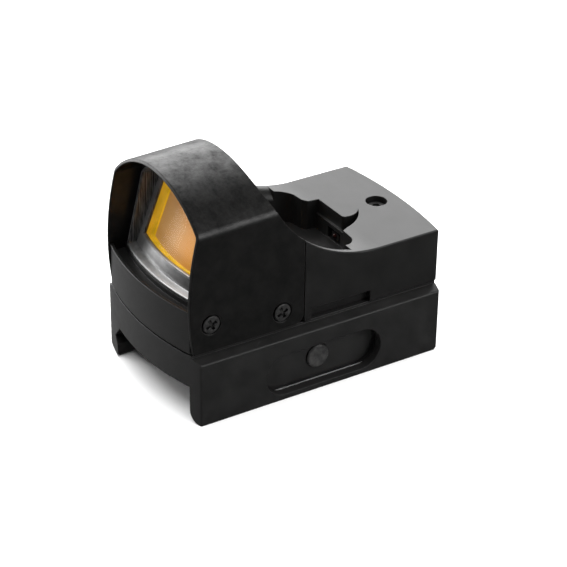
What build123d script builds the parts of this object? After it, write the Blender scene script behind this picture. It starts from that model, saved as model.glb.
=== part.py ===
from build123d import *
from math import cos, radians, sin, sqrt, tan
import os

# A mini reflex sight (red dot finder) on a base that clamps to a 21.2 mm wide accessory rail.
# Millimetres. The origin is on the rail seat, at the middle of the sight. +Z is up, the lens
# looks along -Y, the eye is on the +Y side, and the cross bolt's head is on the -X side.

# --- driving dimensions ---------------------------------------------------------------------
SIGHT_WIDTH = 25.4          # housing and hood, side to side
BASE_WIDTH = 28.4
FRONT_RADIUS = 44.5         # the front is an arc in plan
FRONT_CENTRE_Y = 20.9
REAR_RADIUS = 74.0          # and so is the rear, more gently
REAR_CENTRE_Y = -51.17
JAW_BOTTOM = -5.9           # lowest point of the base, below the rail seat
SEAM = 5.5                  # the base's top and the housing's underside
HOUSING_TOP = 14.65
SEAM_REVEAL = 0.35          # shadow line over the seam, in front and behind
SHELF_DROP = 0.87           # the base's long top edges slope down outside the housing
SHELF_STEP = 0.4            # and start with a step down, a shadow line along both sides
SHELF_STEP_HALF = 12.35

# the rail: 21.2 wide, 15.67 across its top, flanks at 45 degrees
RAIL_TOP_HALF = 7.835
RAIL_APEX_HALF = 10.6
RAIL_APEX_DROP = RAIL_APEX_HALF - RAIL_TOP_HALF
FLANK_CLEARANCE = 0.2       # at the rail's upper flanks; the lower ones are gripped
JAW_TIP_HALF = 9.45

# the saddle that joins the housing's flat top to the hood is one arc along X
SADDLE_RADIUS = 20.82
SADDLE_Y = 10.82
SADDLE_Z = HOUSING_TOP + SADDLE_RADIUS

# hood
HOOD_WALL = 0.55
HOOD_ARCH_RADIUS = 16.95
HOOD_ARCH_Z = 13.6          # height of the arch's centre over HOOD_ARCH_Y
HOOD_ARCH_Y = -22.0
HOOD_CLIMB = radians(2.0)   # the arch climbs towards the rear
HOOD_CORNER = 1.7
HOOD_RIM_ROUND = 0.12
HOOD_FOOT = SEAM + 0.15
HOOD_REAR_Y = -2.65
HOOD_GAP = 0.2              # joint between the hood's rear edge and the housing
HOOD_LAP = 0.7              # the housing reaches this far inside the hood
HOOD_FRONT_RADIUS = 44.85   # largest plan radius of the hood's front edge
HOOD_FRONT_BULGE_Z = 13.0   # where that is
HOOD_FRONT_BULGE = 48.0     # radius of the front edge's lean, seen from the side

# front wall and floor under the hood
SILL = 12.35                # the lens bezel stands here
LIP_TOP = 12.7
LIP_WALL = 0.5
CHEEK_HALF = 9.5
FLOOR = 8.9

# lens and its bezel: cones about the front arc's centre, leaning back
BEZEL_FRONT = (42.0, 12.5, 0.231)    # plan radius, the height it holds at, lean per mm
STEP_FRONT = (40.35, 12.9, 0.39)
LENS_FRONT = (39.85, 12.9, 0.39)
LENS_THICKNESS = 2.0
RETAINER_THICKNESS = 0.9
BEZEL_INSET = 1.5           # insets are measured in from the hood's outer skin
STEP_INSET = 1.85
LENS_INSET = 2.6
APERTURE_INSET = 3.35
BEZEL_FOOT = 12.4
STEP_FOOT = 12.8
LENS_FOOT = 13.7
APERTURE_FOOT = 14.65

# hood screws: y, z of each head on both sides
HOOD_SCREWS = [(-18.6, 10.15), (-6.4, 8.5)]
HOOD_SCREW_HEAD = 1.4
HOOD_SCREW_SHANK = 0.75
HOOD_SCREW_SEAT = 12.42     # floor of the counterbore in the hood's side
HOOD_SCREW_FACE = 12.8
HOOD_SCREW_CROSS = 0.26     # depth of the cross recess

# clamp
BOLT_Y, BOLT_Z = 0.35, -1.45
BOLT_SHANK = 1.35
BOLT_END = 1.9
BOLT_HEAD = 3.4
CLAMP_TRAVEL = 1.2
BAR_LENGTH = 28.4
BAR_BACK = 11.45            # flange's outer face when clamped
BAR_LIFT = 0.07             # the bar stays this far above the lowest point of the base
BOSS_FACE = 12.0
WINDOW_LENGTH, WINDOW_HEIGHT = 20.65, 6.95
WINDOW_Y, WINDOW_Z = 0.35, -1.55
WINDOW_GAP = 0.15
BAR_RELIEF = 0.1            # the seat steps up by this over the clamp bar
BOLT_GROOVE_HALF, BOLT_GROOVE_DEPTH = 1.75, 0.3
SKIRT_INNER = 12.0
POCKET_FACE = BAR_BACK + CLAMP_TRAVEL + 0.06
RECESS_FLOOR = 10.75
CLAMP_SPRING_OFFSET = 6.5
CLAMP_SPRING_Z = 1.05

# battery, 20 mm cell
BATTERY_Y = -1.0
BATTERY_RADIUS = 10.0
BATTERY_HEIGHT = 3.2
BATTERY_POCKET = 10.4
BATTERY_POCKET_FLOOR = SEAM - 0.9
BATTERY_POCKET_TOP = 8.75
NICHE_FLOOR = 9.6
NICHE_HALF = 10.2
NICHE_SHOULDER = 5.4        # the side walls run straight back to here
NICHE_RIM = 2.0             # radius along the top of the side walls

# adjusters
ELEVATION_Y = 18.85
WINDAGE_Y, WINDAGE_Z = 15.0, 8.3
ADJUSTER_HEAD = 1.6
ADJUSTER_SHANK = 1.0
ADJUSTER_WELL = 1.72
CAVITY_TOP = 11.6
CAVITY_HALF = 9.6
CAVITY_FRONT, CAVITY_REAR = 12.6, 20.9
ARM_BOTTOM, ARM_TOP = 9.85, 10.85
ARM_TIP_HEIGHT = 1.1
LED_Y, LED_Z = 11.3, 10.55
LED_RADIUS = 0.42
RUNNING = 0.05              # radial clearance of turning and sliding fits

# body screws and pins
MOUNT_SCREW_X, MOUNT_SCREW_Y = 7.2, -12.6
MOUNT_SCREW_HEAD, MOUNT_SCREW_SHANK = 2.2, 1.25
MOUNT_SCREW_TIP = 1.2
PIN_X, PIN_FRONT_Y, PIN_REAR_Y = 10.6, -14.6, 17.5
PIN_RADIUS = 0.75
PIN_BOTTOM, PIN_TOP = 3.0, 7.4
GASKET = 0.2
GASKET_HALF = 11.2
GASKET_INSET = 0.9          # in from the sight's front and rear arcs

FAR = 40.0                  # beyond everything, for cutting tools


# --- helpers --------------------------------------------------------------------------------
def prism_x(face, x0, x1):
    return extrude(Plane.YZ.offset(x0) * face, x1 - x0)


def prism_y(face, y0, y1):
    return extrude(Plane.XZ.offset(-y1) * face, y1 - y0)


def prism_z(face, z0, z1):
    return extrude(Plane.XY.offset(z0) * face, z1 - z0)


def box(x0, x1, y0, y1, z0, z1):
    centre = ((x0 + x1) / 2, (y0 + y1) / 2, (z0 + z1) / 2)
    return Pos(*centre) * Box(x1 - x0, y1 - y0, z1 - z0)


def rod_x(radius, x0, x1, y, z):
    return prism_x(Pos(y, z) * Circle(radius), x0, x1)


def rod_z(radius, z0, z1, x, y):
    return prism_z(Pos(x, y) * Circle(radius), z0, z1)


def polygon(points):
    return make_face(Polyline(*points, close=True).edges())


def plan(half_width, inset=0.0):
    """The sight's outline seen from above: straight sides, arcs in front and behind."""
    front = Pos(0, FRONT_CENTRE_Y) * Circle(FRONT_RADIUS - inset)
    rear = Pos(0, REAR_CENTRE_Y) * Circle(REAR_RADIUS - inset)
    return Rectangle(2 * half_width, 2 * FAR) & front & rear


def hood_section(inset, foot):
    """The hood's arch seen from the front, inset from its outer skin."""
    half = SIGHT_WIDTH / 2 - inset
    arch = HOOD_ARCH_RADIUS - inset
    shoulder = HOOD_ARCH_Z + sqrt(arch ** 2 - half ** 2)
    outline = [
        Line((-half, foot), (half, foot)),
        Line((half, foot), (half, shoulder)),
        ThreePointArc((half, shoulder), (0, HOOD_ARCH_Z + arch), (-half, shoulder)),
        Line((-half, shoulder), (-half, foot)),
    ]
    face = make_face(outline)
    shoulders = [v for v in face.vertices() if v.Y > foot + 1]
    return fillet(shoulders, max(HOOD_CORNER - inset, 0.9))


def hood_skin(inset):
    """Everything under the hood's arch, which climbs towards the rear."""
    drop = (FAR + HOOD_ARCH_Y) * tan(HOOD_CLIMB)
    start = Pos(0, 0, -drop) * (Plane.XZ.offset(FAR) * hood_section(inset, 0))
    return extrude(start, 2 * FAR, dir=(0, cos(HOOD_CLIMB), sin(HOOD_CLIMB)))


def cone(radius, level, lean, back=0.0):
    """Everything behind a leaning lens surface, as a solid about the front arc's centre."""
    low, high = level - 8, level + 24
    r_low = radius - back + 8 * lean
    r_high = radius - back - 24 * lean
    half = polygon([(0, low), (r_low, low), (r_high, high), (0, high)])
    solid = revolve(Plane.XZ * half, Axis.Z)
    return Pos(0, FRONT_CENTRE_Y, 0) * solid


def saddle():
    """The cylinder whose underside shapes the top behind the hood."""
    return rod_x(SADDLE_RADIUS, -FAR, FAR, SADDLE_Y, SADDLE_Z)


def above_top():
    """Everything above the flat rear top and its saddle."""
    flat = box(-FAR, FAR, SADDLE_Y, FAR, HOUSING_TOP, FAR)
    block = box(-FAR, FAR, HOOD_REAR_Y - 12, SADDLE_Y + 0.5, HOUSING_TOP, FAR)
    return flat + (block & saddle())


def coil(radius, wire, turns, length):
    """A compression spring along +Z from the origin, as an open helix of round wire."""
    path = Helix(length / turns, length - 2 * wire, radius)
    section = Plane(path @ 0, z_dir=path % 0) * Circle(wire)
    return Pos(0, 0, wire) * sweep(section, path)


def ring_z(outer, inner, z0, z1, x, y):
    return rod_z(outer, z0, z1, x, y) - rod_z(inner, z0 - 1, z1 + 1, x, y)


def ring_x(outer, inner, x0, x1, y, z):
    return rod_x(outer, x0, x1, y, z) - rod_x(inner, x0 - 1, x1 + 1, y, z)


# --- base and clamp -------------------------------------------------------------------------
def rail_flank():
    """Corners of a jaw's V, from the rail seat down to the jaw's tip, as (half width, z)."""
    upper = RAIL_TOP_HALF + FLANK_CLEARANCE
    apex_z = -(RAIL_APEX_DROP - FLANK_CLEARANCE / 2)
    apex_half = RAIL_APEX_HALF + FLANK_CLEARANCE / 2
    relief = JAW_TIP_HALF + 0.15
    relief_z = relief - RAIL_APEX_HALF - RAIL_APEX_DROP
    return [(upper, 0), (apex_half, apex_z), (relief, relief_z), (JAW_TIP_HALF, JAW_BOTTOM + 0.35)]


def window(x0, x1, gap=0.0):
    """The obround opening in the near skirt, or the clamp's boss that fills it."""
    shape = SlotOverall(WINDOW_LENGTH - 2 * gap, WINDOW_HEIGHT - 2 * gap)
    return prism_x(Pos(WINDOW_Y, WINDOW_Z) * shape, x0, x1)


def clamp_spring_places():
    return [BOLT_Y - CLAMP_SPRING_OFFSET, BOLT_Y + CLAMP_SPRING_OFFSET]


def body_screw_places():
    return [(-MOUNT_SCREW_X, MOUNT_SCREW_Y), (MOUNT_SCREW_X, MOUNT_SCREW_Y)]


def pin_places():
    return [(side * PIN_X, y) for side in (-1, 1) for y in (PIN_FRONT_Y, PIN_REAR_Y)]


def make_base():
    half = BASE_WIDTH / 2
    block = prism_z(plan(half), JAW_BOTTOM, SEAM)
    for side in (-1, 1):
        slope = polygon([(side * (half + 1), SEAM + 1), (side * SHELF_STEP_HALF, SEAM + 1),
                         (side * SHELF_STEP_HALF, SEAM - SHELF_STEP),
                         (side * SIGHT_WIDTH / 2, SEAM - SHELF_STEP),
                         (side * half, SEAM - SHELF_DROP), (side * (half + 1), SEAM - SHELF_DROP)])
        block -= prism_y(slope, -FAR, FAR)

    # the rail channel: a V jaw on the far side, a straight skirt on the near side
    jaw = [(-x, z) for x, z in rail_flank()]
    near = [(RAIL_TOP_HALF, 0), (RAIL_TOP_HALF, BAR_RELIEF), (SKIRT_INNER, BAR_RELIEF),
            (SKIRT_INNER, JAW_BOTTOM - 1)]
    channel = polygon([(-JAW_TIP_HALF - 0.3, JAW_BOTTOM - 1), (-JAW_TIP_HALF - 0.3, JAW_BOTTOM)]
                      + jaw[::-1] + near)
    block -= prism_y(channel, -FAR, FAR)
    block -= box(-RAIL_TOP_HALF - FLANK_CLEARANCE - 0.1, SKIRT_INNER, BOLT_Y - BOLT_GROOVE_HALF,
                 BOLT_Y + BOLT_GROOVE_HALF, -1, BOLT_GROOVE_DEPTH)
    foot = [e for e in block.edges().filter_by(Axis.Y)
            if abs(e.center().X - SKIRT_INNER) < 0.01 and abs(e.center().Z - JAW_BOTTOM) < 0.01]
    block = fillet(foot, 2.0)
    rear_foot = [e for e in block.edges() if e.center().Y > 20 and abs(e.center().Z - JAW_BOTTOM) < 0.01]
    block = chamfer(rear_foot, 0.5)
    sides = [e for e in block.edges() if abs(abs(e.center().X) - half) < 0.02
             and e.center().Z > JAW_BOTTOM + 1 and e.geom_type == GeomType.LINE]
    block = fillet(sides, 0.3)

    # pocket for the clamp bar, its window and the recess behind the boss
    pocket_half = BAR_LENGTH / 2 + 0.2
    block -= box(SKIRT_INNER - 1, POCKET_FACE, WINDOW_Y - pocket_half, WINDOW_Y + pocket_half,
                 JAW_BOTTOM - 1, BAR_RELIEF)
    block -= window(RECESS_FLOOR, half + 1)
    for y in clamp_spring_places():
        block -= rod_x(0.7, 6.6, RECESS_FLOOR + 0.5, y, CLAMP_SPRING_Z)

    # cross bolt hole and counterbore
    block -= rod_x(BOLT_END + 2 * RUNNING, -half - 1, -9.2, BOLT_Y, BOLT_Z)
    block -= rod_x(BOLT_SHANK + 0.15, -10, -7.5, BOLT_Y, BOLT_Z)
    block -= rod_x(BOLT_HEAD + 0.2, -half - 1, -11.6, BOLT_Y, BOLT_Z)

    # battery recess, screw and pin holes in the top
    block -= rod_z(BATTERY_POCKET, BATTERY_POCKET_FLOOR, SEAM + 1, 0, BATTERY_Y)
    for x, y in body_screw_places():
        block -= rod_z(MOUNT_SCREW_SHANK + 0.02, MOUNT_SCREW_TIP - 0.2, SEAM + 1, x, y)
    for x, y in pin_places():
        block -= rod_z(PIN_RADIUS + 0.01, PIN_BOTTOM - 0.1, SEAM + 1, x, y)
    return block


def make_clamp_bar():
    flank = rail_flank()
    top = -0.1
    upper_half = RAIL_TOP_HALF + FLANK_CLEARANCE - top
    foot = JAW_BOTTOM + BAR_LIFT
    section = polygon([(upper_half, top)] + flank[1:] + [(JAW_TIP_HALF + 0.3, foot),
                      (BAR_BACK - BAR_LIFT, foot), (BAR_BACK, foot + BAR_LIFT), (BAR_BACK, top)])
    bar = prism_y(section, WINDOW_Y - BAR_LENGTH / 2, WINDOW_Y + BAR_LENGTH / 2)
    bar += window(RECESS_FLOOR + 0.1, BOSS_FACE, WINDOW_GAP)
    bar -= rod_x(BOLT_END + RUNNING, 0, FAR, BOLT_Y, BOLT_Z)
    return bar


def make_cross_bolt():
    bolt = rod_x(BOLT_HEAD, -14.15, -11.9, BOLT_Y, BOLT_Z)
    bolt = chamfer(bolt.edges().sort_by(Axis.X)[0], 0.3)
    bolt += rod_x(BOLT_END + RUNNING, -12.0, -10.75, BOLT_Y, BOLT_Z)
    bolt += rod_x(BOLT_SHANK, -11.0, 11, BOLT_Y, BOLT_Z)
    thread = rod_x(BOLT_END, RECESS_FLOOR + 0.1, 12.5, BOLT_Y, BOLT_Z)
    bolt += chamfer(thread.edges().sort_by(Axis.X)[-1], 0.2)
    socket = Pos(BOLT_Y, BOLT_Z) * RegularPolygon(1.5, 6, major_radius=False)
    bolt -= prism_x(socket, -15, -12.7)
    bolt -= box(-15, -13.6, BOLT_Y - 4, BOLT_Y + 4, BOLT_Z - 0.4, BOLT_Z + 0.4)
    return bolt


def make_clamp_springs():
    springs = []
    for y in clamp_spring_places():
        springs.append(Pos(6.65, y, CLAMP_SPRING_Z) * Rot(0, 90, 0) * coil(0.5, 0.1, 7, 4.15))
    return springs


# --- housing and hood -----------------------------------------------------------------------
def niche_outline():
    """The recess in the top that the emitter looks out of, round the tongue that covers it."""
    wall, shoulder = NICHE_HALF, NICHE_SHOULDER
    edges = [
        Line((wall, HOOD_REAR_Y - 1), (wall, shoulder)),
        ThreePointArc((wall, shoulder), (9.6, 7.7), (8.2, 8.7)),
        Line((8.2, 8.7), (5.6, 8.9)),
        Line((5.6, 8.9), (4.9, 10.1)),
        ThreePointArc((4.9, 10.1), (3.3, 13.0), (0.5, 15.0)),
        ThreePointArc((0.5, 15.0), (1.85, 13.5), (1.9, 12.0)),
        ThreePointArc((1.9, 12.0), (1.75, 11.55), (1.3, 11.4)),
        Line((1.3, 11.4), (-5.2, 11.4)),
        Line((-5.2, 11.4), (-5.4, 9.5)),
        Line((-5.4, 9.5), (-6.2, 8.9)),
        Line((-6.2, 8.9), (-8.2, 8.7)),
        ThreePointArc((-8.2, 8.7), (-9.6, 7.7), (-wall, shoulder)),
        Line((-wall, shoulder), (-wall, HOOD_REAR_Y - 1)),
        Line((-wall, HOOD_REAR_Y - 1), (wall, HOOD_REAR_Y - 1)),
    ]
    return make_face(edges)


def make_rear_block(inner_half):
    """The housing behind the hood, with broken edges and the niche's rounded side walls."""
    half = SIGHT_WIDTH / 2
    tongue = HOOD_REAR_Y - HOOD_LAP
    rear = prism_z(plan(half), SEAM, 2 * HOUSING_TOP)
    rear &= box(-FAR, FAR, tongue, FAR, 0, FAR)
    rear -= above_top()
    rear -= box(-NICHE_HALF, NICHE_HALF, tongue - 1, NICHE_SHOULDER + 0.8, NICHE_FLOOR, FAR)
    rims = [e for e in rear.edges() if e.length > 5 and e.center().Z > HOUSING_TOP
            and abs(abs(e.center().X) - NICHE_HALF) < 0.02]
    rear = fillet(rims, NICHE_RIM)
    top = [e for e in rear.edges() if e.bounding_box().min.Z > HOUSING_TOP - 0.05
           and (abs(abs(e.center().X) - half) < 0.01 or e.center().Y > 22)]
    rear = fillet(top, 0.2)
    foot = [e for e in rear.edges() if abs(e.center().Z - SEAM) < 0.01
            and (abs(abs(e.center().X) - half) < 0.01 or e.center().Y > 22)]
    rear = chamfer(foot, 0.2)

    # the tongue that reaches forward inside the hood, so that the joint has no gap to see through
    for side in (-1, 1):
        x0, x1 = sorted((side * inner_half, side * FAR))
        rear -= box(x0, x1, -FAR, HOOD_REAR_Y + HOOD_GAP, 0, FAR)
    return rear


def make_housing():
    inner_half = SIGHT_WIDTH / 2 - HOOD_WALL - 0.05
    rear = make_rear_block(inner_half)
    front = prism_z(plan(inner_half), SEAM, LIP_TOP)
    front &= box(-FAR, FAR, -FAR, HOOD_REAR_Y + 0.5, 0, FAR)
    housing = rear + front

    # sill for the lens bezel behind a thin lip, and the open floor behind it
    sill_front = Pos(0, FRONT_CENTRE_Y) * Circle(FRONT_RADIUS - LIP_WALL)
    bezel_front = Pos(0, FRONT_CENTRE_Y) * Circle(BEZEL_FRONT[0] + 0.05)
    housing -= prism_z(sill_front - bezel_front & Rectangle(2 * inner_half + 1, 70), 11.5, FAR) \
        & box(-FAR, FAR, -FAR, -14, 0, FAR)
    housing -= prism_z(bezel_front & Rectangle(2 * inner_half + 1, 70), SILL, FAR) \
        & box(-FAR, FAR, -FAR, -14, 0, FAR)
    housing -= box(-CHEEK_HALF, CHEEK_HALF, -15.3, HOOD_REAR_Y + 1, FLOOR, FAR)

    # niche in the top, well for the elevation screw, notch in each lower side edge
    housing -= prism_z(niche_outline(), CAVITY_TOP + 0.7, FAR)
    low_niche = niche_outline() & Pos(0, -19) * Rectangle(60, 60)
    housing -= prism_z(low_niche, NICHE_FLOOR, FAR)
    housing -= rod_z(ADJUSTER_WELL, 12.2, FAR, 0, ELEVATION_Y)
    for side in (-1, 1):
        x0, x1 = sorted((side * 11.5, side * 14))
        housing -= box(x0, x1, -1.3, 9.4, 0, SEAM + 2.1)

    # underside: shadow line, battery pocket, adjuster cavity, gasket recess
    housing -= prism_z(plan(FAR, -1) - plan(FAR, SEAM_REVEAL), SEAM, SEAM + SEAM_REVEAL)
    housing -= rod_z(BATTERY_POCKET, 0, BATTERY_POCKET_TOP, 0, BATTERY_Y)
    housing -= box(-CAVITY_HALF, CAVITY_HALF, CAVITY_FRONT, CAVITY_REAR, 0, CAVITY_TOP)
    housing -= prism_z(plan(GASKET_HALF + 0.05, GASKET_INSET - 0.05), 0, SEAM + GASKET)

    # openings into the cavity: emitter window, elevation and windage screws
    housing -= box(-1.7, 1.7, 10.5, CAVITY_FRONT + 1, 9.65, CAVITY_TOP)
    housing -= rod_z(ADJUSTER_SHANK + RUNNING, CAVITY_TOP - 1, 13, 0, ELEVATION_Y)
    housing -= rod_x(ADJUSTER_SHANK + RUNNING, -12, 11.2, WINDAGE_Y, WINDAGE_Z)
    housing -= rod_x(ADJUSTER_WELL, -14, -10.7, WINDAGE_Y, WINDAGE_Z)

    for x, y in body_screw_places():
        housing -= rod_z(MOUNT_SCREW_SHANK + RUNNING, 0, FLOOR + 1, x, y)
    for x, y in pin_places():
        housing -= rod_z(PIN_RADIUS + 0.03, 0, PIN_TOP + 0.2, x, y)
    for y, z in HOOD_SCREWS:
        housing -= rod_x(HOOD_SCREW_SHANK + 0.02, -13, 13, y, z) \
            - box(-9.6, 9.6, -FAR, FAR, 0, FAR)
    housing -= rod_z(1.0, 8, NICHE_FLOOR + 1, 6.2, 4.6)
    return housing


def make_mounting_screws():
    """Two socket screws, put in from above, that hold the housing on the base."""
    screws = []
    for x, y in body_screw_places():
        head = rod_z(MOUNT_SCREW_HEAD, FLOOR, FLOOR + 1.5, x, y)
        head = fillet(head.edges().sort_by(Axis.Z)[-1], 0.4)
        screw = head + rod_z(MOUNT_SCREW_SHANK, MOUNT_SCREW_TIP, FLOOR + 0.1, x, y)
        screw -= prism_z(Pos(x, y) * RegularPolygon(1.0, 6, major_radius=False), FLOOR + 0.6, FAR)
        screws.append(screw)
    return screws


def make_hood():
    shell = hood_skin(0) & box(-FAR, FAR, -FAR, SADDLE_Y, HOOD_FOOT, FAR)
    shell -= hood_skin(HOOD_WALL)

    # front edge: an arc in plan and a gentle lean, seen from the side
    low, high = HOOD_FOOT - 2, 34.0
    lean = [HOOD_FRONT_RADIUS - HOOD_FRONT_BULGE
            + sqrt(HOOD_FRONT_BULGE ** 2 - (z - HOOD_FRONT_BULGE_Z) ** 2) for z in (low, high)]
    half = make_face([
        ThreePointArc((lean[0], low), (HOOD_FRONT_RADIUS, HOOD_FRONT_BULGE_Z), (lean[1], high)),
        Line((lean[1], high), (0, high)), Line((0, high), (0, low)), Line((0, low), (lean[0], low)),
    ])
    shell &= Pos(0, FRONT_CENTRE_Y, 0) * revolve(Plane.XZ * half, Axis.Z)

    # rear edge: straight down the sides, then along the saddle
    shell -= saddle()
    shell -= box(-FAR, FAR, HOOD_REAR_Y, FAR, 0, FAR)
    heels = [e for e in shell.edges().filter_by(Axis.X)
             if abs(e.center().Y - HOOD_REAR_Y) < 0.01 and e.center().Z < HOOD_FOOT + 0.01]
    shell = fillet(heels, 1.6)
    rim = [e for e in shell.edges() if e.bounding_box().max.Y < -14]
    shell = fillet(rim, HOOD_RIM_ROUND)

    for y, z in HOOD_SCREWS:
        shell -= rod_x(HOOD_SCREW_SHANK + 0.05, -FAR, FAR, y, z)
        for side in (-1, 1):
            x0, x1 = sorted((side * HOOD_SCREW_SEAT, side * 14))
            shell -= rod_x(HOOD_SCREW_HEAD + 0.3, x0, x1, y, z)
    return shell


def make_hood_screws():
    screws = []
    for y, z in HOOD_SCREWS:
        head = rod_x(HOOD_SCREW_HEAD, HOOD_SCREW_SEAT, HOOD_SCREW_FACE, y, z)
        head = fillet(head.edges().sort_by(Axis.X)[-1], 0.16)
        screw = head + rod_x(HOOD_SCREW_SHANK, 10.0, HOOD_SCREW_SEAT + 0.1, y, z)
        for turn in (25, 115):
            blade = Box(2 * HOOD_SCREW_CROSS, 1.9, 0.5)
            screw -= Pos(HOOD_SCREW_FACE, y, z) * Rot(turn, 0, 0) * blade
        screws.append(screw)
        screws.append(mirror(screw, Plane.YZ))
    return screws


# --- lens ------------------------------------------------------------------------------------
def lens_zone(inset, foot):
    return prism_y(hood_section(inset, foot), -FAR, 5)


def make_lens_parts():
    bezel_face = cone(*BEZEL_FRONT)
    step_face = cone(*STEP_FRONT)
    lens_face = cone(*LENS_FRONT)
    lens_back = cone(*LENS_FRONT, back=LENS_THICKNESS)
    retainer_face = cone(*LENS_FRONT, back=LENS_THICKNESS + 0.05)
    retainer_back = cone(*LENS_FRONT, back=LENS_THICKNESS + RETAINER_THICKNESS)
    outer = lens_zone(BEZEL_INSET, BEZEL_FOOT)

    bezel = (outer - lens_zone(STEP_INSET, STEP_FOOT)) & (bezel_face - step_face)
    bezel += (outer - lens_zone(APERTURE_INSET, APERTURE_FOOT)) & (step_face - lens_face)
    bezel += (outer - lens_zone(LENS_INSET - 0.05, LENS_FOOT - 0.05)) & (lens_face - lens_back)
    lens = lens_zone(LENS_INSET, LENS_FOOT) & (cone(*LENS_FRONT, back=0.03) - lens_back)
    retainer = outer - lens_zone(APERTURE_INSET, APERTURE_FOOT)
    retainer = retainer & (retainer_face - retainer_back)
    seal = lens_zone(HOOD_WALL + 0.03, LIP_TOP + 0.1) - lens_zone(BEZEL_INSET - 0.03, 0)
    seal = seal & (cone(*BEZEL_FRONT, back=0.3) - retainer_back)
    return bezel, lens, retainer, seal


# --- power and emitter ------------------------------------------------------------------------
def make_battery():
    bottom = BATTERY_POCKET_FLOOR + 0.3
    cell = rod_z(BATTERY_RADIUS, bottom + 0.3, bottom + BATTERY_HEIGHT, 0, BATTERY_Y)
    cell = fillet(cell.edges().sort_by(Axis.Z)[-1], 0.4)
    return cell + rod_z(BATTERY_RADIUS - 1.2, bottom, bottom + 1, 0, BATTERY_Y)


def make_battery_contact():
    """A leaf that presses on the cell's top, with two bent fingers."""
    top = BATTERY_POCKET_TOP - 0.02
    leaf = box(-3.5, 3.5, BATTERY_Y - 8, BATTERY_Y + 8, top - 0.2, top)
    bottom = BATTERY_POCKET_FLOOR + 0.3 + BATTERY_HEIGHT
    for side in (-1, 1):
        tip = BATTERY_Y + side * 2
        root = BATTERY_Y + side * 7
        finger = polygon([(root, top - 0.1), (root, top - 0.3), (tip, bottom + 0.02), (tip, bottom + 0.22)])
        leaf += prism_x(finger, -1.5, 1.5)
    return leaf


def make_side_contact():
    inner = BATTERY_RADIUS + 0.05
    arc = rod_z(inner + 0.25, 5.9, 7.9, 0, BATTERY_Y) - rod_z(inner, 5, 9, 0, BATTERY_Y)
    return arc & box(-4, 4, -FAR, BATTERY_Y - 5, 0, FAR)


def make_gasket():
    sheet = prism_z(plan(GASKET_HALF, GASKET_INSET), SEAM, SEAM + GASKET)
    sheet -= rod_z(BATTERY_POCKET, 0, FAR, 0, BATTERY_Y)
    sheet -= box(-CAVITY_HALF, CAVITY_HALF, CAVITY_FRONT, CAVITY_REAR, 0, FAR)
    for x, y in body_screw_places():
        sheet -= rod_z(MOUNT_SCREW_SHANK + 0.15, 0, FAR, x, y)
    for x, y in pin_places():
        sheet -= rod_z(PIN_RADIUS + 0.15, 0, FAR, x, y)
    return sheet


def make_adjuster(length):
    """A captive screw along -Z: slotted head from 0 to 1.6 up, shank down to -length."""
    screw = chamfer(rod_z(ADJUSTER_HEAD, 0, 1.6, 0, 0).edges().sort_by(Axis.Z)[-1], 0.2)
    screw += rod_z(ADJUSTER_SHANK, -length, 0.5, 0, 0)
    socket = RegularPolygon(0.65, 6, major_radius=False)
    return screw - prism_z(socket, 0.7, 3)


def make_elevation_nut():
    nut = box(-2.6, 2.6, 17.0, 20.6, 7.9, ARM_BOTTOM - 0.05)
    nut += rod_z(1.6, 9, ARM_TOP + 0.02, 0, ELEVATION_Y)
    return nut - rod_z(ADJUSTER_SHANK + RUNNING, 0, FAR, 0, ELEVATION_Y)


def make_led_arm():
    arm = rod_z(2.5, ARM_BOTTOM, ARM_TOP, 0, ELEVATION_Y) & box(-3, 3, 10, 20.6, 0, FAR)
    arm += box(-1.3, 1.3, CAVITY_FRONT + 0.2, ELEVATION_Y, ARM_BOTTOM, ARM_TOP)
    arm += box(-1.0, 1.0, LED_Y + 0.2, 13.2, LED_Z - ARM_TIP_HEIGHT / 2, LED_Z + ARM_TIP_HEIGHT / 2)
    arm -= rod_z(1.6 + RUNNING, 0, FAR, 0, ELEVATION_Y)
    slot = Pos(0, WINDAGE_Y) * Rot(0, 0, 90) * SlotOverall(1.6, 1.1)
    arm -= prism_z(slot, 0, FAR)
    return arm


def make_led():
    """The emitter: a short barrel with a domed front that faces the lens."""
    dome = Pos(0, LED_Y, LED_Z) * Sphere(LED_RADIUS)
    dome &= box(-1, 1, LED_Y - 1, LED_Y, 0, FAR)
    return dome + prism_y(Pos(0, LED_Z) * Circle(LED_RADIUS), LED_Y, LED_Y + 0.2)


def make_led_mask():
    plate = Pos(0, LED_Z) * (Rectangle(1.9, ARM_TIP_HEIGHT) - Circle(LED_RADIUS + 0.03))
    return prism_y(plate, LED_Y - 0.05, LED_Y + 0.18)


def make_windage_nut():
    nut = box(-1.6, 1.6, WINDAGE_Y - 1.45, WINDAGE_Y + 1.45, WINDAGE_Z - 1.4, WINDAGE_Z + 1.1)
    nut -= rod_x(ADJUSTER_SHANK + RUNNING, -FAR, FAR, WINDAGE_Y, WINDAGE_Z)
    return nut + rod_z(0.5, WINDAGE_Z + 1.06, ARM_TOP + 0.35, 0, WINDAGE_Y)


def make_circuit_board():
    board = box(-9.0, 9.0, 12.8, 20.6, 5.9, 6.7)
    for x in (-8.2, 8.2):
        board -= rod_z(0.6, 0, FAR, x, 19.8)
    return board


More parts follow.
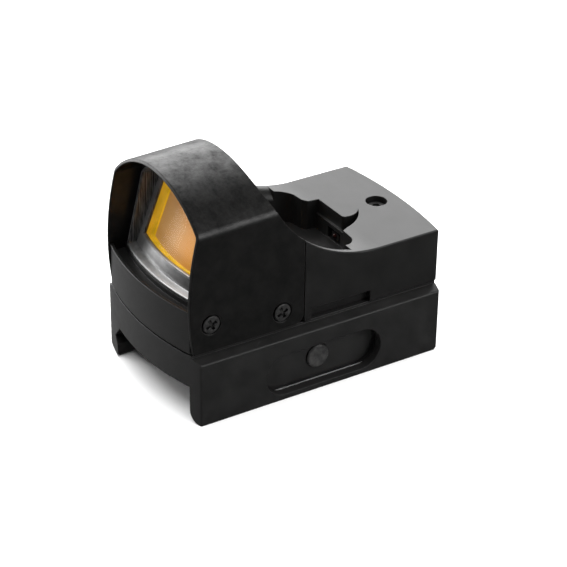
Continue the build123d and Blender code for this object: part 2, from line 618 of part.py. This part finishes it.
# --- the parts ------------------------------------------------------------------------------
def build():
    bezel, lens, retainer, seal = make_lens_parts()
    clip_gap = 0.04
    parts = {
        "base": make_base(),
        "clamp_bar": make_clamp_bar(),
        "cross_bolt": make_cross_bolt(),
        "bolt_washer": ring_x(3.3, BOLT_END + 0.15, -11.89, -11.61, BOLT_Y, BOLT_Z),
        "clamp_springs": make_clamp_springs(),
        "locating_pins": [rod_z(PIN_RADIUS, PIN_BOTTOM, PIN_TOP, x, y) for x, y in pin_places()],
        "mounting_screws": make_mounting_screws(),
        "base_gasket": make_gasket(),
        "housing": make_housing(),
        "hood": make_hood(),
        "hood_screws": make_hood_screws(),
        "lens_bezel": bezel,
        "lens": lens,
        "lens_retainer": retainer,
        "lens_seal": seal,
        "battery": make_battery(),
        "battery_tray": rod_z(10.3, BATTERY_POCKET_FLOOR, BATTERY_POCKET_FLOOR + 0.28, 0, BATTERY_Y),
        "battery_contact": make_battery_contact(),
        "side_contact": make_side_contact(),
        "circuit_board": make_circuit_board(),
        "control_chip": box(3.6, 7.6, 16.2, 19.8, 6.7, 7.6),
        "light_sensor": rod_z(0.95, 8.1, NICHE_FLOOR + 0.2, 6.2, 4.6),
        "elevation_screw": Pos(0, ELEVATION_Y, 12.22) * make_adjuster(5.1),
        "elevation_clip": ring_z(1.9, ADJUSTER_SHANK + clip_gap, 11.2, 11.55, 0, ELEVATION_Y),
        "elevation_nut": make_elevation_nut(),
        "led_arm": make_led_arm(),
        "led_mask": make_led_mask(),
        "led": make_led(),
        "windage_screw": Pos(-10.72, WINDAGE_Y, WINDAGE_Z) * Rot(0, -90, 0) * make_adjuster(21.7),
        "windage_clip": ring_x(1.9, ADJUSTER_SHANK + clip_gap, -9.55, -9.2, WINDAGE_Y, WINDAGE_Z),
        "windage_nut": make_windage_nut(),
        "windage_spring": Pos(1.9, WINDAGE_Y, WINDAGE_Z) * Rot(0, 90, 0) * coil(1.25, 0.15, 6, 7.6),
    }
    return parts


os.makedirs("parts", exist_ok=True)
for node, shape in build().items():
    solid = Compound(children=shape) if isinstance(shape, list) else shape
    export_step(solid, f"parts/{node}.step")
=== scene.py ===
import math

import bpy
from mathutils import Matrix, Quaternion, Vector


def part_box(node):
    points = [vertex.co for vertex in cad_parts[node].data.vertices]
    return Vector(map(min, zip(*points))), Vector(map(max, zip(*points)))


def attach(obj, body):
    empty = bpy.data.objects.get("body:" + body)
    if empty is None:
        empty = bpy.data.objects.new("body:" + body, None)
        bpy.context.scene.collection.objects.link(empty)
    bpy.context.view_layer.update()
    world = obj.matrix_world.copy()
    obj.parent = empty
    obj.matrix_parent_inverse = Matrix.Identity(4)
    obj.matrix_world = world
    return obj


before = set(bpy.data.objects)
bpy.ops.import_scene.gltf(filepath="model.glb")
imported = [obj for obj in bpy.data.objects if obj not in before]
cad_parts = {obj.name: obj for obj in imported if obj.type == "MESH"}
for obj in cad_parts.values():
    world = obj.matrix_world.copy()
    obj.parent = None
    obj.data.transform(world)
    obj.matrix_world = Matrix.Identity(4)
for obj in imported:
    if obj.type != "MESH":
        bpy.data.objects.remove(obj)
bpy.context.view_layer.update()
MM = 0.001

FLOOR_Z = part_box("base")[0].z


# --- node helpers -----------------------------------------------------------------------------
class Look:
    """A node material being built: one Principled shader and helpers that add nodes before it."""

    def __init__(self, name, rough, **sockets):
        self.mat = bpy.data.materials.new(name)
        self.mat.use_nodes = True
        self.tree = self.mat.node_tree
        self.shader = self.tree.nodes["Principled BSDF"]
        self.set(Roughness=rough, **sockets)
        self.place = self.node("ShaderNodeTexCoord").outputs["Object"]

    def set(self, **sockets):
        for key, value in sockets.items():
            self.shader.inputs[key.replace("_", " ")].default_value = value

    def node(self, kind, **options):
        made = self.tree.nodes.new(kind)
        for key, value in options.items():
            setattr(made, key, value)
        return made

    def join(self, source, target):
        self.tree.links.new(source, target)

    def feed(self, target, value):
        if isinstance(value, (int, float, tuple)):
            target.default_value = value
        else:
            self.join(value, target)

    def noise(self, size, detail=3.0, rough=0.55, stretch=(1, 1, 1), distortion=0.0):
        """Noise whose features are about size (mm) across, 0 to 1."""
        mapping = self.node("ShaderNodeMapping")
        mapping.inputs["Scale"].default_value = stretch
        self.join(self.place, mapping.inputs["Vector"])
        made = self.node("ShaderNodeTexNoise")
        self.join(mapping.outputs[0], made.inputs["Vector"])
        made.inputs["Scale"].default_value = 1 / (size * MM)
        made.inputs["Detail"].default_value = detail
        made.inputs["Roughness"].default_value = rough
        made.inputs["Distortion"].default_value = distortion
        return made.outputs["Fac"]

    def spread(self, value, low, high, to_low=0.0, to_high=1.0):
        """value from low..high mapped on to_low..to_high, clamped."""
        made = self.node("ShaderNodeMapRange")
        self.join(value, made.inputs["Value"])
        for key, number in zip(("From Min", "From Max", "To Min", "To Max"),
                               (low, high, to_low, to_high)):
            made.inputs[key].default_value = number
        return made.outputs[0]

    def maths(self, operation, a, b=0.0):
        made = self.node("ShaderNodeMath", operation=operation)
        self.feed(made.inputs[0], a)
        self.feed(made.inputs[1], b)
        return made.outputs[0]

    def mix(self, amount, a, b):
        made = self.node("ShaderNodeMix", data_type="RGBA")
        self.feed(made.inputs["Factor"], amount)
        self.feed(made.inputs["A"], a)
        self.feed(made.inputs["B"], b)
        return made.outputs["Result"]

    def bump(self, height, depth, normal=None):
        """Relief depth mm high; earlier relief goes in as normal."""
        made = self.node("ShaderNodeBump")
        made.inputs["Strength"].default_value = 1.0
        made.inputs["Distance"].default_value = depth * MM
        self.join(height, made.inputs["Height"])
        if normal is not None:
            self.join(normal, made.inputs["Normal"])
        return made.outputs[0]

    def edges(self, radius, low=0.02, high=0.25):
        """1 along outer edges and 0 on flats, radius mm wide."""
        soft = self.node("ShaderNodeBevel", samples=6)
        soft.inputs["Radius"].default_value = radius * MM
        sharp = self.node("ShaderNodeNewGeometry")
        dot = self.node("ShaderNodeVectorMath", operation="DOT_PRODUCT")
        self.join(soft.outputs[0], dot.inputs[0])
        self.join(sharp.outputs["Normal"], dot.inputs[1])
        turned = self.maths("SUBTRACT", 1.0, dot.outputs["Value"])
        return self.spread(turned, low, high)

    def painted_recess_shade(self, reach):
        """1 deep in recesses and 0 on open faces, reach mm wide: painted shade, where the colour is
        darkened.
        """
        open_sky = self.node("ShaderNodeAmbientOcclusion", samples=6)
        open_sky.inputs["Distance"].default_value = reach * MM
        return self.spread(open_sky.outputs["AO"], 0.55, 0.92, 1.0, 0.0)

    def facing(self, axis):
        """The surface normal's X, Y or Z."""
        split = self.node("ShaderNodeSeparateXYZ")
        self.join(self.node("ShaderNodeNewGeometry").outputs["Normal"], split.inputs[0])
        return split.outputs[axis]

    def across(self, low, high):
        """0 to 1 along the sight's X, between low and high in mm."""
        split = self.node("ShaderNodeSeparateXYZ")
        self.join(self.place, split.inputs[0])
        return self.spread(split.outputs["X"], low * MM, high * MM)

    def rounded(self, radius):
        """A normal that breaks the sharp edges, radius mm wide."""
        soft = self.node("ShaderNodeBevel", samples=8)
        soft.inputs["Radius"].default_value = radius * MM
        return soft.outputs[0]

    def colour(self, value):
        self.feed(self.shader.inputs["Base Color"], value)

    def roughness(self, value):
        self.feed(self.shader.inputs["Roughness"], value)

    def relief(self, normal):
        self.join(normal, self.shader.inputs["Normal"])


def grey(value, warm=0.0):
    return (value * (1 + warm), value, value * (1 - warm), 1.0)


# --- materials --------------------------------------------------------------------------------
def anodised(name, dark, light, rough, grain=0.09, grain_depth=0.004, spec=0.5, wear=0.0):
    """Blasted and anodised aluminium: fine grain, faint cloudiness, and edges painted lighter, partly
    scuffs and partly painted highlight.
    """
    look = Look(name, rough[0], Specular_IOR_Level=spec)
    cloud = look.noise(3.2, 5.0, 0.6)
    fine = look.noise(grain, 2.0, 0.7)
    tone = look.mix(look.spread(cloud, 0.35, 0.68), grey(dark, 0.01), grey(light, 0.02))
    # edges painted lighter in scuffed patches: partly edge wear, partly painted highlight
    edge = look.edges(0.12)
    scuff_and_edge_highlight = look.maths("MULTIPLY", edge, look.spread(look.noise(0.6, 4.0, 0.7), 0.42, 0.62))
    tone = look.mix(look.maths("MULTIPLY", scuff_and_edge_highlight, 0.55), tone, grey(light * 5))
    if wear:
        rub = look.spread(look.noise(1.4, 6.0, 0.75, distortion=0.6), 0.62, 0.72)
        tone = look.mix(look.maths("MULTIPLY", rub, wear), tone, grey(light * 4))
    look.colour(tone)
    look.roughness(look.spread(look.maths("ADD", cloud, look.maths("MULTIPLY", fine, 0.5)),
                               0.45, 1.05, rough[0], rough[1]))
    relief = look.bump(fine, grain_depth, normal=look.rounded(0.16))
    look.relief(look.bump(look.noise(1.1, 3.0), 0.004, normal=relief))
    return look.mat


def textured_coat(name):
    """The hood's coat: a fine orange-peel texture, its gloss mottled where it faces up."""
    mean_gloss = 0.36
    look = Look(name, 0.45, Specular_IOR_Level=mean_gloss)
    cloud = look.noise(2.6, 6.0, 0.68, distortion=0.3)
    peel = look.noise(0.34, 3.0, 0.62)
    grain = look.noise(0.11, 2.0, 0.7)
    speck = look.noise(0.9, 5.0, 0.75)
    tone = look.mix(look.spread(cloud, 0.38, 0.66), grey(0.003), grey(0.006, 0.04))
    # edges painted lighter: partly edge wear, partly painted highlight
    edge = look.edges(0.1)
    look.colour(look.mix(look.maths("MULTIPLY", edge, 0.4), tone, grey(0.08, 0.03)))
    uneven = look.maths("ADD", look.spread(cloud, 0.34, 0.68, -0.16, 0.20),
                        look.spread(speck, 0.32, 0.68, -0.14, 0.14))
    upper = look.spread(look.facing("Z"), 0.3, 0.75, 0.12, 1.0)
    gloss = look.maths("ADD", look.maths("MULTIPLY", uneven, upper), mean_gloss)
    look.join(gloss, look.shader.inputs["Specular IOR Level"])
    look.roughness(look.spread(cloud, 0.36, 0.7, 0.42, 0.35))
    relief = look.bump(peel, 0.012, normal=look.rounded(0.16))
    look.relief(look.bump(grain, 0.005, normal=relief))
    return look.mat


def turned_metal(name, dark, light, rough, axis, metallic=1.0, line=0.05):
    """Machined metal with fine tool lines round or along one axis, and painted shade in its recesses."""
    look = Look(name, rough[0], Metallic=metallic)
    stretch = tuple(0.04 if a == axis else 1.0 for a in "xyz")
    lines = look.noise(line, 3.0, 0.7, stretch=stretch)
    cloud = look.noise(0.8, 4.0, 0.6)
    tone = look.mix(look.spread(cloud, 0.35, 0.65), grey(dark), grey(light, 0.01))
    # painted shade: the colour goes near black deep in recesses such as the screw crosses
    look.colour(look.mix(look.painted_recess_shade(0.5), tone, grey(dark * 0.1)))
    look.roughness(look.spread(lines, 0.3, 0.7, rough[0], rough[1]))
    look.relief(look.bump(lines, 0.003))
    return look.mat


def plain_grain(name, colour_a, colour_b, rough, size=0.4, depth=0.004, **sockets):
    """Small hidden pieces: two close tones, varied gloss and a faint grain."""
    look = Look(name, rough[0], **sockets)
    cloud = look.noise(size * 3, 4.0, 0.6)
    look.colour(look.mix(look.spread(cloud, 0.35, 0.65), colour_a, colour_b))
    look.roughness(look.spread(cloud, 0.3, 0.7, rough[0], rough[1]))
    look.relief(look.bump(look.noise(size, 3.0), depth))
    return look.mat


def bezel_metal_and_painted_light():
    """Turned aluminium round the lens with painted light and shade: dark walls, a paler step and a bright
    ledge, the ledge painted lighter and the step darker towards +X.
    """
    look = Look("bezel_metal_and_painted_light", 0.3, Metallic=0.6)
    streak = look.noise(0.2, 4.0, 0.7, stretch=(1, 1, 0.06))
    cloud = look.noise(1.6, 4.0, 0.6)
    up = look.facing("Z")
    # painted light: a gradient across X, with a little random drift, lightens the ledge and darkens the
    # step towards +X
    painted_light_across = look.maths("ADD", look.across(-8.5, 6.0), look.spread(cloud, 0.3, 0.7, -0.12, 0.12))
    wall = look.mix(look.spread(streak, 0.38, 0.66), grey(0.03), grey(0.22))
    step = look.mix(look.spread(painted_light_across, 0.0, 1.0), grey(0.20), grey(0.05))
    ledge = look.mix(look.spread(painted_light_across, 0.0, 1.0), grey(0.10), grey(0.72))
    # painted light and shade by which way the face points: dark walls, a paler step, a bright ledge
    tone = look.mix(look.spread(up, 0.12, 0.28), wall, step)
    look.colour(look.mix(look.spread(up, 0.5, 0.8), tone, ledge))
    look.join(look.spread(up, 0.2, 0.8, 0.7, 0.4), look.shader.inputs["Metallic"])
    look.roughness(look.spread(cloud, 0.3, 0.7, 0.3, 0.42))
    look.relief(look.bump(streak, 0.004, normal=look.rounded(0.8)))
    return look.mat


def lens_tint():
    """Clear glass with a faint amber cast."""
    look = Look("lens_tint", 0.04, Specular_IOR_Level=0.2, Alpha=0.12)
    smear = look.noise(4.0, 4.0, 0.6)
    look.colour(look.mix(look.spread(smear, 0.35, 0.65), (0.80, 0.46, 0.03, 1), (0.88, 0.54, 0.05, 1)))
    look.roughness(look.spread(smear, 0.3, 0.7, 0.03, 0.08))
    return look.mat


def lens_coating():
    """The coated rear face: peach on the far side, deeper orange on the near side, a painted reflection,
    with a faint painted glow.
    """
    # painted glow: the coating emits its own colour faintly
    look = Look("lens_coating", 0.5, Metallic=0.15, Emission_Strength=0.08)
    drift = look.noise(5.5, 3.0, 0.5, distortion=0.4)
    # painted reflection: the tone shifts from peach to orange across X, with random drift
    side = look.maths("ADD", look.across(-7.0, 6.0), look.spread(drift, 0.3, 0.7, -0.3, 0.3))
    tone = look.mix(look.spread(side, 0.0, 1.0), (0.66, 0.38, 0.20, 1), (0.66, 0.27, 0.05, 1))
    look.colour(tone)
    look.join(tone, look.shader.inputs["Emission Color"])
    look.roughness(look.spread(look.noise(2.0, 3.0), 0.3, 0.7, 0.46, 0.56))
    return look.mat


def lens_border():
    """The ground rim of the glass, yellow, painted bright with a painted glow standing in for light
    gathered inside it.
    """
    # painted glow: the rim emits its own yellow, though it is no lamp
    look = Look("lens_border", 0.35, Metallic=0.2, Emission_Strength=0.35)
    drift = look.noise(2.5, 3.0, 0.5)
    tone = look.mix(look.spread(drift, 0.35, 0.66), (0.62, 0.40, 0.010, 1), (0.90, 0.56, 0.030, 1))
    look.colour(tone)
    look.join(tone, look.shader.inputs["Emission Color"])
    look.roughness(look.spread(drift, 0.3, 0.7, 0.3, 0.42))
    return look.mat


MATERIALS = {
    "base": anodised("base_finish", 0.007, 0.011, (0.42, 0.6), wear=0.25),
    "housing": anodised("housing_finish", 0.006, 0.009, (0.34, 0.44), spec=0.4),
    "hood": textured_coat("hood_finish"),
    "lens_bezel": bezel_metal_and_painted_light(),
    "lens_retainer": anodised("retainer_finish", 0.01, 0.016, (0.4, 0.55)),
    "lens": lens_tint(),
    "lens_seal": plain_grain("seal_rubber", grey(0.008), grey(0.013), (0.6, 0.75)),
    "clamp_bar": anodised("clamp_finish", 0.011, 0.017, (0.42, 0.58)),
    "cross_bolt": turned_metal("bolt_steel", 0.065, 0.13, (0.38, 0.55), "x", 0.7),
    "hood_screws": turned_metal("screw_steel", 0.05, 0.10, (0.32, 0.48), "x", 0.8),
    "mounting_screws": turned_metal("socket_screw_steel", 0.045, 0.09, (0.34, 0.5), "z", 0.8),
    "elevation_screw": turned_metal("adjuster_steel", 0.03, 0.06, (0.34, 0.5), "z", 0.8),
    "windage_screw": turned_metal("windage_steel", 0.03, 0.06, (0.34, 0.5), "x", 0.8),
    "bolt_washer": turned_metal("washer_steel", 0.45, 0.6, (0.3, 0.45), "x"),
    "locating_pins": turned_metal("pin_steel", 0.45, 0.6, (0.25, 0.4), "z"),
    "clamp_springs": turned_metal("clamp_spring_wire", 0.4, 0.55, (0.25, 0.4), "x"),
    "windage_spring": turned_metal("windage_spring_wire", 0.4, 0.55, (0.25, 0.4), "x"),
    "elevation_clip": turned_metal("elevation_clip_steel", 0.3, 0.45, (0.3, 0.45), "z"),
    "windage_clip": turned_metal("windage_clip_steel", 0.3, 0.45, (0.3, 0.45), "x"),
    "battery": turned_metal("battery_steel", 0.5, 0.66, (0.2, 0.34), "x"),
    "battery_tray": plain_grain("tray_plastic", grey(0.02), grey(0.03), (0.5, 0.62)),
    "battery_contact": plain_grain("leaf_brass", (0.62, 0.42, 0.15, 1), (0.72, 0.52, 0.22, 1),
                                   (0.28, 0.42), Metallic=1.0),
    "side_contact": plain_grain("contact_brass", (0.60, 0.40, 0.15, 1), (0.70, 0.50, 0.21, 1),
                                (0.28, 0.42), Metallic=1.0),
    "elevation_nut": plain_grain("elevation_nut_brass", (0.55, 0.37, 0.13, 1), (0.66, 0.46, 0.18, 1),
                                 (0.3, 0.45), Metallic=1.0),
    "windage_nut": plain_grain("windage_nut_brass", (0.55, 0.37, 0.13, 1), (0.66, 0.46, 0.18, 1),
                               (0.3, 0.45), Metallic=1.0),
    "circuit_board": plain_grain("board_mask", (0.008, 0.06, 0.02, 1), (0.012, 0.09, 0.03, 1), (0.25, 0.4)),
    "control_chip": plain_grain("chip_plastic", grey(0.015), grey(0.022), (0.45, 0.6), 0.2),
    "base_gasket": plain_grain("gasket_rubber", grey(0.008), grey(0.014), (0.65, 0.8)),
    "light_sensor": plain_grain("sensor_plastic", grey(0.010), grey(0.016), (0.2, 0.35), 0.3),
    "led_arm": plain_grain("arm_plastic", grey(0.005), grey(0.008), (0.5, 0.65), 0.3),
    "led_mask": plain_grain("mask_metal", grey(0.004), grey(0.007), (0.5, 0.65), 0.1),
    "led": plain_grain("emitter_resin", (0.012, 0.002, 0.002, 1), (0.02, 0.003, 0.003, 1), (0.2, 0.3), 0.2),
}

for node, material in MATERIALS.items():
    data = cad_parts[node].data
    data.materials.clear()
    data.materials.append(material)


# --- coating and rim of the lens --------------------------------------------------------------
# the opening that the lens fills, in mm: the hood's section set in by an inset
HOOD_HALF, HOOD_ARCH, HOOD_ARCH_Z, CORNER = 12.7, 16.95, 13.6, 0.9
LENS_CENTRE_Y, LENS_RADIUS, LENS_LEVEL, LENS_LEAN = 20.9, 39.85, 12.9, 0.39
FILM_DEPTH = 1.86           # just inside the back of the 2 mm glass
BORDER_DEPTH = 0.1          # the ground edge starts this far behind the front face
LENS_INSET, LENS_FOOT = 2.575, 13.675
COATED_INSET, COATED_FOOT = 3.3, 13.72
COATED_MIDDLE_Z = 20.0
COATED_RINGS = (1.0, 0.85, 0.7, 0.55, 0.4, 0.25, 0.1)


def opening(inset, foot):
    """One turn round the opening as (x, z), from the middle of its foot."""
    half, arch = HOOD_HALF - inset, HOOD_ARCH - inset
    centre_x = half - CORNER
    centre_z = HOOD_ARCH_Z + math.sqrt((arch - CORNER) ** 2 - centre_x ** 2)
    turn = math.atan2(centre_z - HOOD_ARCH_Z, centre_x)
    right = [(half * i / 12, foot) for i in range(12)]
    right += [(half, foot + (centre_z - foot) * i / 12) for i in range(12)]
    right += [(centre_x + CORNER * math.cos(turn * i / 8), centre_z + CORNER * math.sin(turn * i / 8))
              for i in range(8)]
    right += [(arch * math.cos(a), HOOD_ARCH_Z + arch * math.sin(a))
              for a in (turn + (math.pi / 2 - turn) * i / 16 for i in range(17))]
    return right + [(-x, z) for x, z in right[-2:0:-1]]


def on_lens(x, z, depth):
    """The point of the lens over (x, z), depth mm behind its front face, in metres."""
    radius = LENS_RADIUS - LENS_LEAN * (z - LENS_LEVEL) - depth
    return (x * MM, (LENS_CENTRE_Y - math.sqrt(radius ** 2 - x ** 2)) * MM, z * MM)


def add_piece(name, points, faces, material):
    mesh = bpy.data.meshes.new(name)
    mesh.from_pydata(points, [], faces)
    mesh.materials.append(material)
    for face in mesh.polygons:
        face.use_smooth = True
    piece = bpy.data.objects.new(name, mesh)
    bpy.context.scene.collection.objects.link(piece)
    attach(piece, "sight")


def join_loops(loops):
    """Quads between neighbouring closed loops of points."""
    count = len(loops[0])
    faces = [(row * count + i, row * count + (i + 1) % count,
              (row + 1) * count + (i + 1) % count, (row + 1) * count + i)
             for row in range(len(loops) - 1) for i in range(count)]
    return [p for loop in loops for p in loop], faces


def add_lens_coating():
    """The amber film, just inside the back of the glass and as wide as its coated part."""
    rim = opening(COATED_INSET, COATED_FOOT)
    loops = [[on_lens(x * share, COATED_MIDDLE_Z + (z - COATED_MIDDLE_Z) * share, FILM_DEPTH)
              for x, z in rim] for share in COATED_RINGS]
    points, faces = join_loops(loops)
    faces.append(tuple(range(len(points) - len(rim), len(points))))
    add_piece("lens_coating", points, faces, lens_coating())


def add_lens_border():
    """The ground edge of the glass and the uncoated margin of its back: a sheet carrying painted light."""
    edge = opening(LENS_INSET, LENS_FOOT)
    coated = opening(COATED_INSET, COATED_FOOT)
    loops = [[on_lens(x, z, BORDER_DEPTH) for x, z in edge],
             [on_lens(x, z, FILM_DEPTH) for x, z in edge],
             [on_lens(x, z, FILM_DEPTH) for x, z in coated]]
    points, faces = join_loops(loops)
    add_piece("lens_border", points, faces, lens_border())


add_lens_coating()
add_lens_border()


# --- camera -----------------------------------------------------------------------------------
def make_camera():
    """In front and to the right of the sight, a little above it, with a slight roll."""
    azimuth, elevation, roll = math.radians(57.512), math.radians(29.994), math.radians(0.850)
    target = Vector((0.0, 1.786, 4.732)) * MM
    back = Vector((math.sin(azimuth) * math.cos(elevation),
                   -math.cos(azimuth) * math.cos(elevation), math.sin(elevation)))
    data = bpy.data.cameras.new("camera")
    data.sensor_width = 36.0
    data.lens = 128.66
    data.clip_start = 0.01
    camera = bpy.data.objects.new("camera", data)
    camera.location = target + back * 315.436 * MM
    camera.rotation_mode = "QUATERNION"
    camera.rotation_quaternion = Quaternion(back, roll) @ (-back).to_track_quat("-Z", "Y")
    bpy.context.scene.collection.objects.link(camera)
    bpy.context.scene.camera = camera


# --- studio -----------------------------------------------------------------------------------
FLOOR_HALF = 3.0
BACKDROP = 0.9              # how bright the surroundings look to the camera
SKY_FAR, SKY_NEAR = 0.5, 0.06


def make_panel(name, place, size, radiance, glossy=True):
    """A soft light of that size in metres, aimed at the sight; glossy=False keeps it out of reflections."""
    data = bpy.data.lights.new(name, "AREA")
    data.shape = "RECTANGLE"
    data.size, data.size_y = size
    data.energy = math.pi * size[0] * size[1] * radiance
    lamp = bpy.data.objects.new(name, data)
    lamp.location = place
    lamp.rotation_mode = "QUATERNION"
    lamp.rotation_quaternion = (-Vector(place)).to_track_quat("-Z", "Y")
    lamp.visible_camera = False
    lamp.visible_glossy = glossy
    bpy.context.scene.collection.objects.link(lamp)


def make_floor():
    mesh = bpy.data.meshes.new("floor")
    corners = [(x * FLOOR_HALF, y * FLOOR_HALF, FLOOR_Z) for x, y in ((-1, -1), (1, -1), (1, 1), (-1, 1))]
    mesh.from_pydata(corners, [], [(0, 1, 2, 3)])
    floor = bpy.data.objects.new("floor", mesh)
    bpy.context.scene.collection.objects.link(floor)
    look = Look("floor_paper", 0.9, Specular_IOR_Level=0.0)
    look.set(Base_Color=(0.86, 0.86, 0.86, 1))
    mesh.materials.append(look.mat)
    floor.visible_glossy = False


def make_world():
    """Pale to the camera; as light, brighter from the far side than from the near one."""
    world = bpy.data.worlds.new("studio")
    world.use_nodes = True
    tree = world.node_tree
    background = tree.nodes["Background"]
    coords = tree.nodes.new("ShaderNodeTexCoord")
    split = tree.nodes.new("ShaderNodeSeparateXYZ")
    tree.links.new(coords.outputs["Generated"], split.inputs[0])
    ramp = tree.nodes.new("ShaderNodeMapRange")
    tree.links.new(split.outputs["X"], ramp.inputs["Value"])
    for key, number in zip(("From Min", "From Max", "To Min", "To Max"), (-1.0, 0.0, SKY_FAR, SKY_NEAR)):
        ramp.inputs[key].default_value = number
    path = tree.nodes.new("ShaderNodeLightPath")
    pick = tree.nodes.new("ShaderNodeMix")
    tree.links.new(path.outputs["Is Camera Ray"], pick.inputs["Factor"])
    tree.links.new(ramp.outputs[0], pick.inputs["A"])
    pick.inputs["B"].default_value = BACKDROP
    tree.links.new(pick.outputs["Result"], background.inputs["Strength"])
    background.inputs["Color"].default_value = (1, 1, 1, 1)
    bpy.context.scene.world = world


make_camera()
make_floor()
make_world()
make_panel("panel_back_left", (-0.34, 0.21, 0.25), (0.50, 0.50), 3.4)
make_panel("panel_front_left", (-0.35, -0.19, 0.10), (0.24, 0.40), 5.0)
make_panel("strip_right", (0.32, 0.18, 0.16), (0.14, 0.22), 6.5)
make_panel("fill_top", (0.0, 0.0, 1.0), (1.4, 1.4), 4.5, glossy=False)
bpy.context.scene.view_settings.view_transform = "Standard"
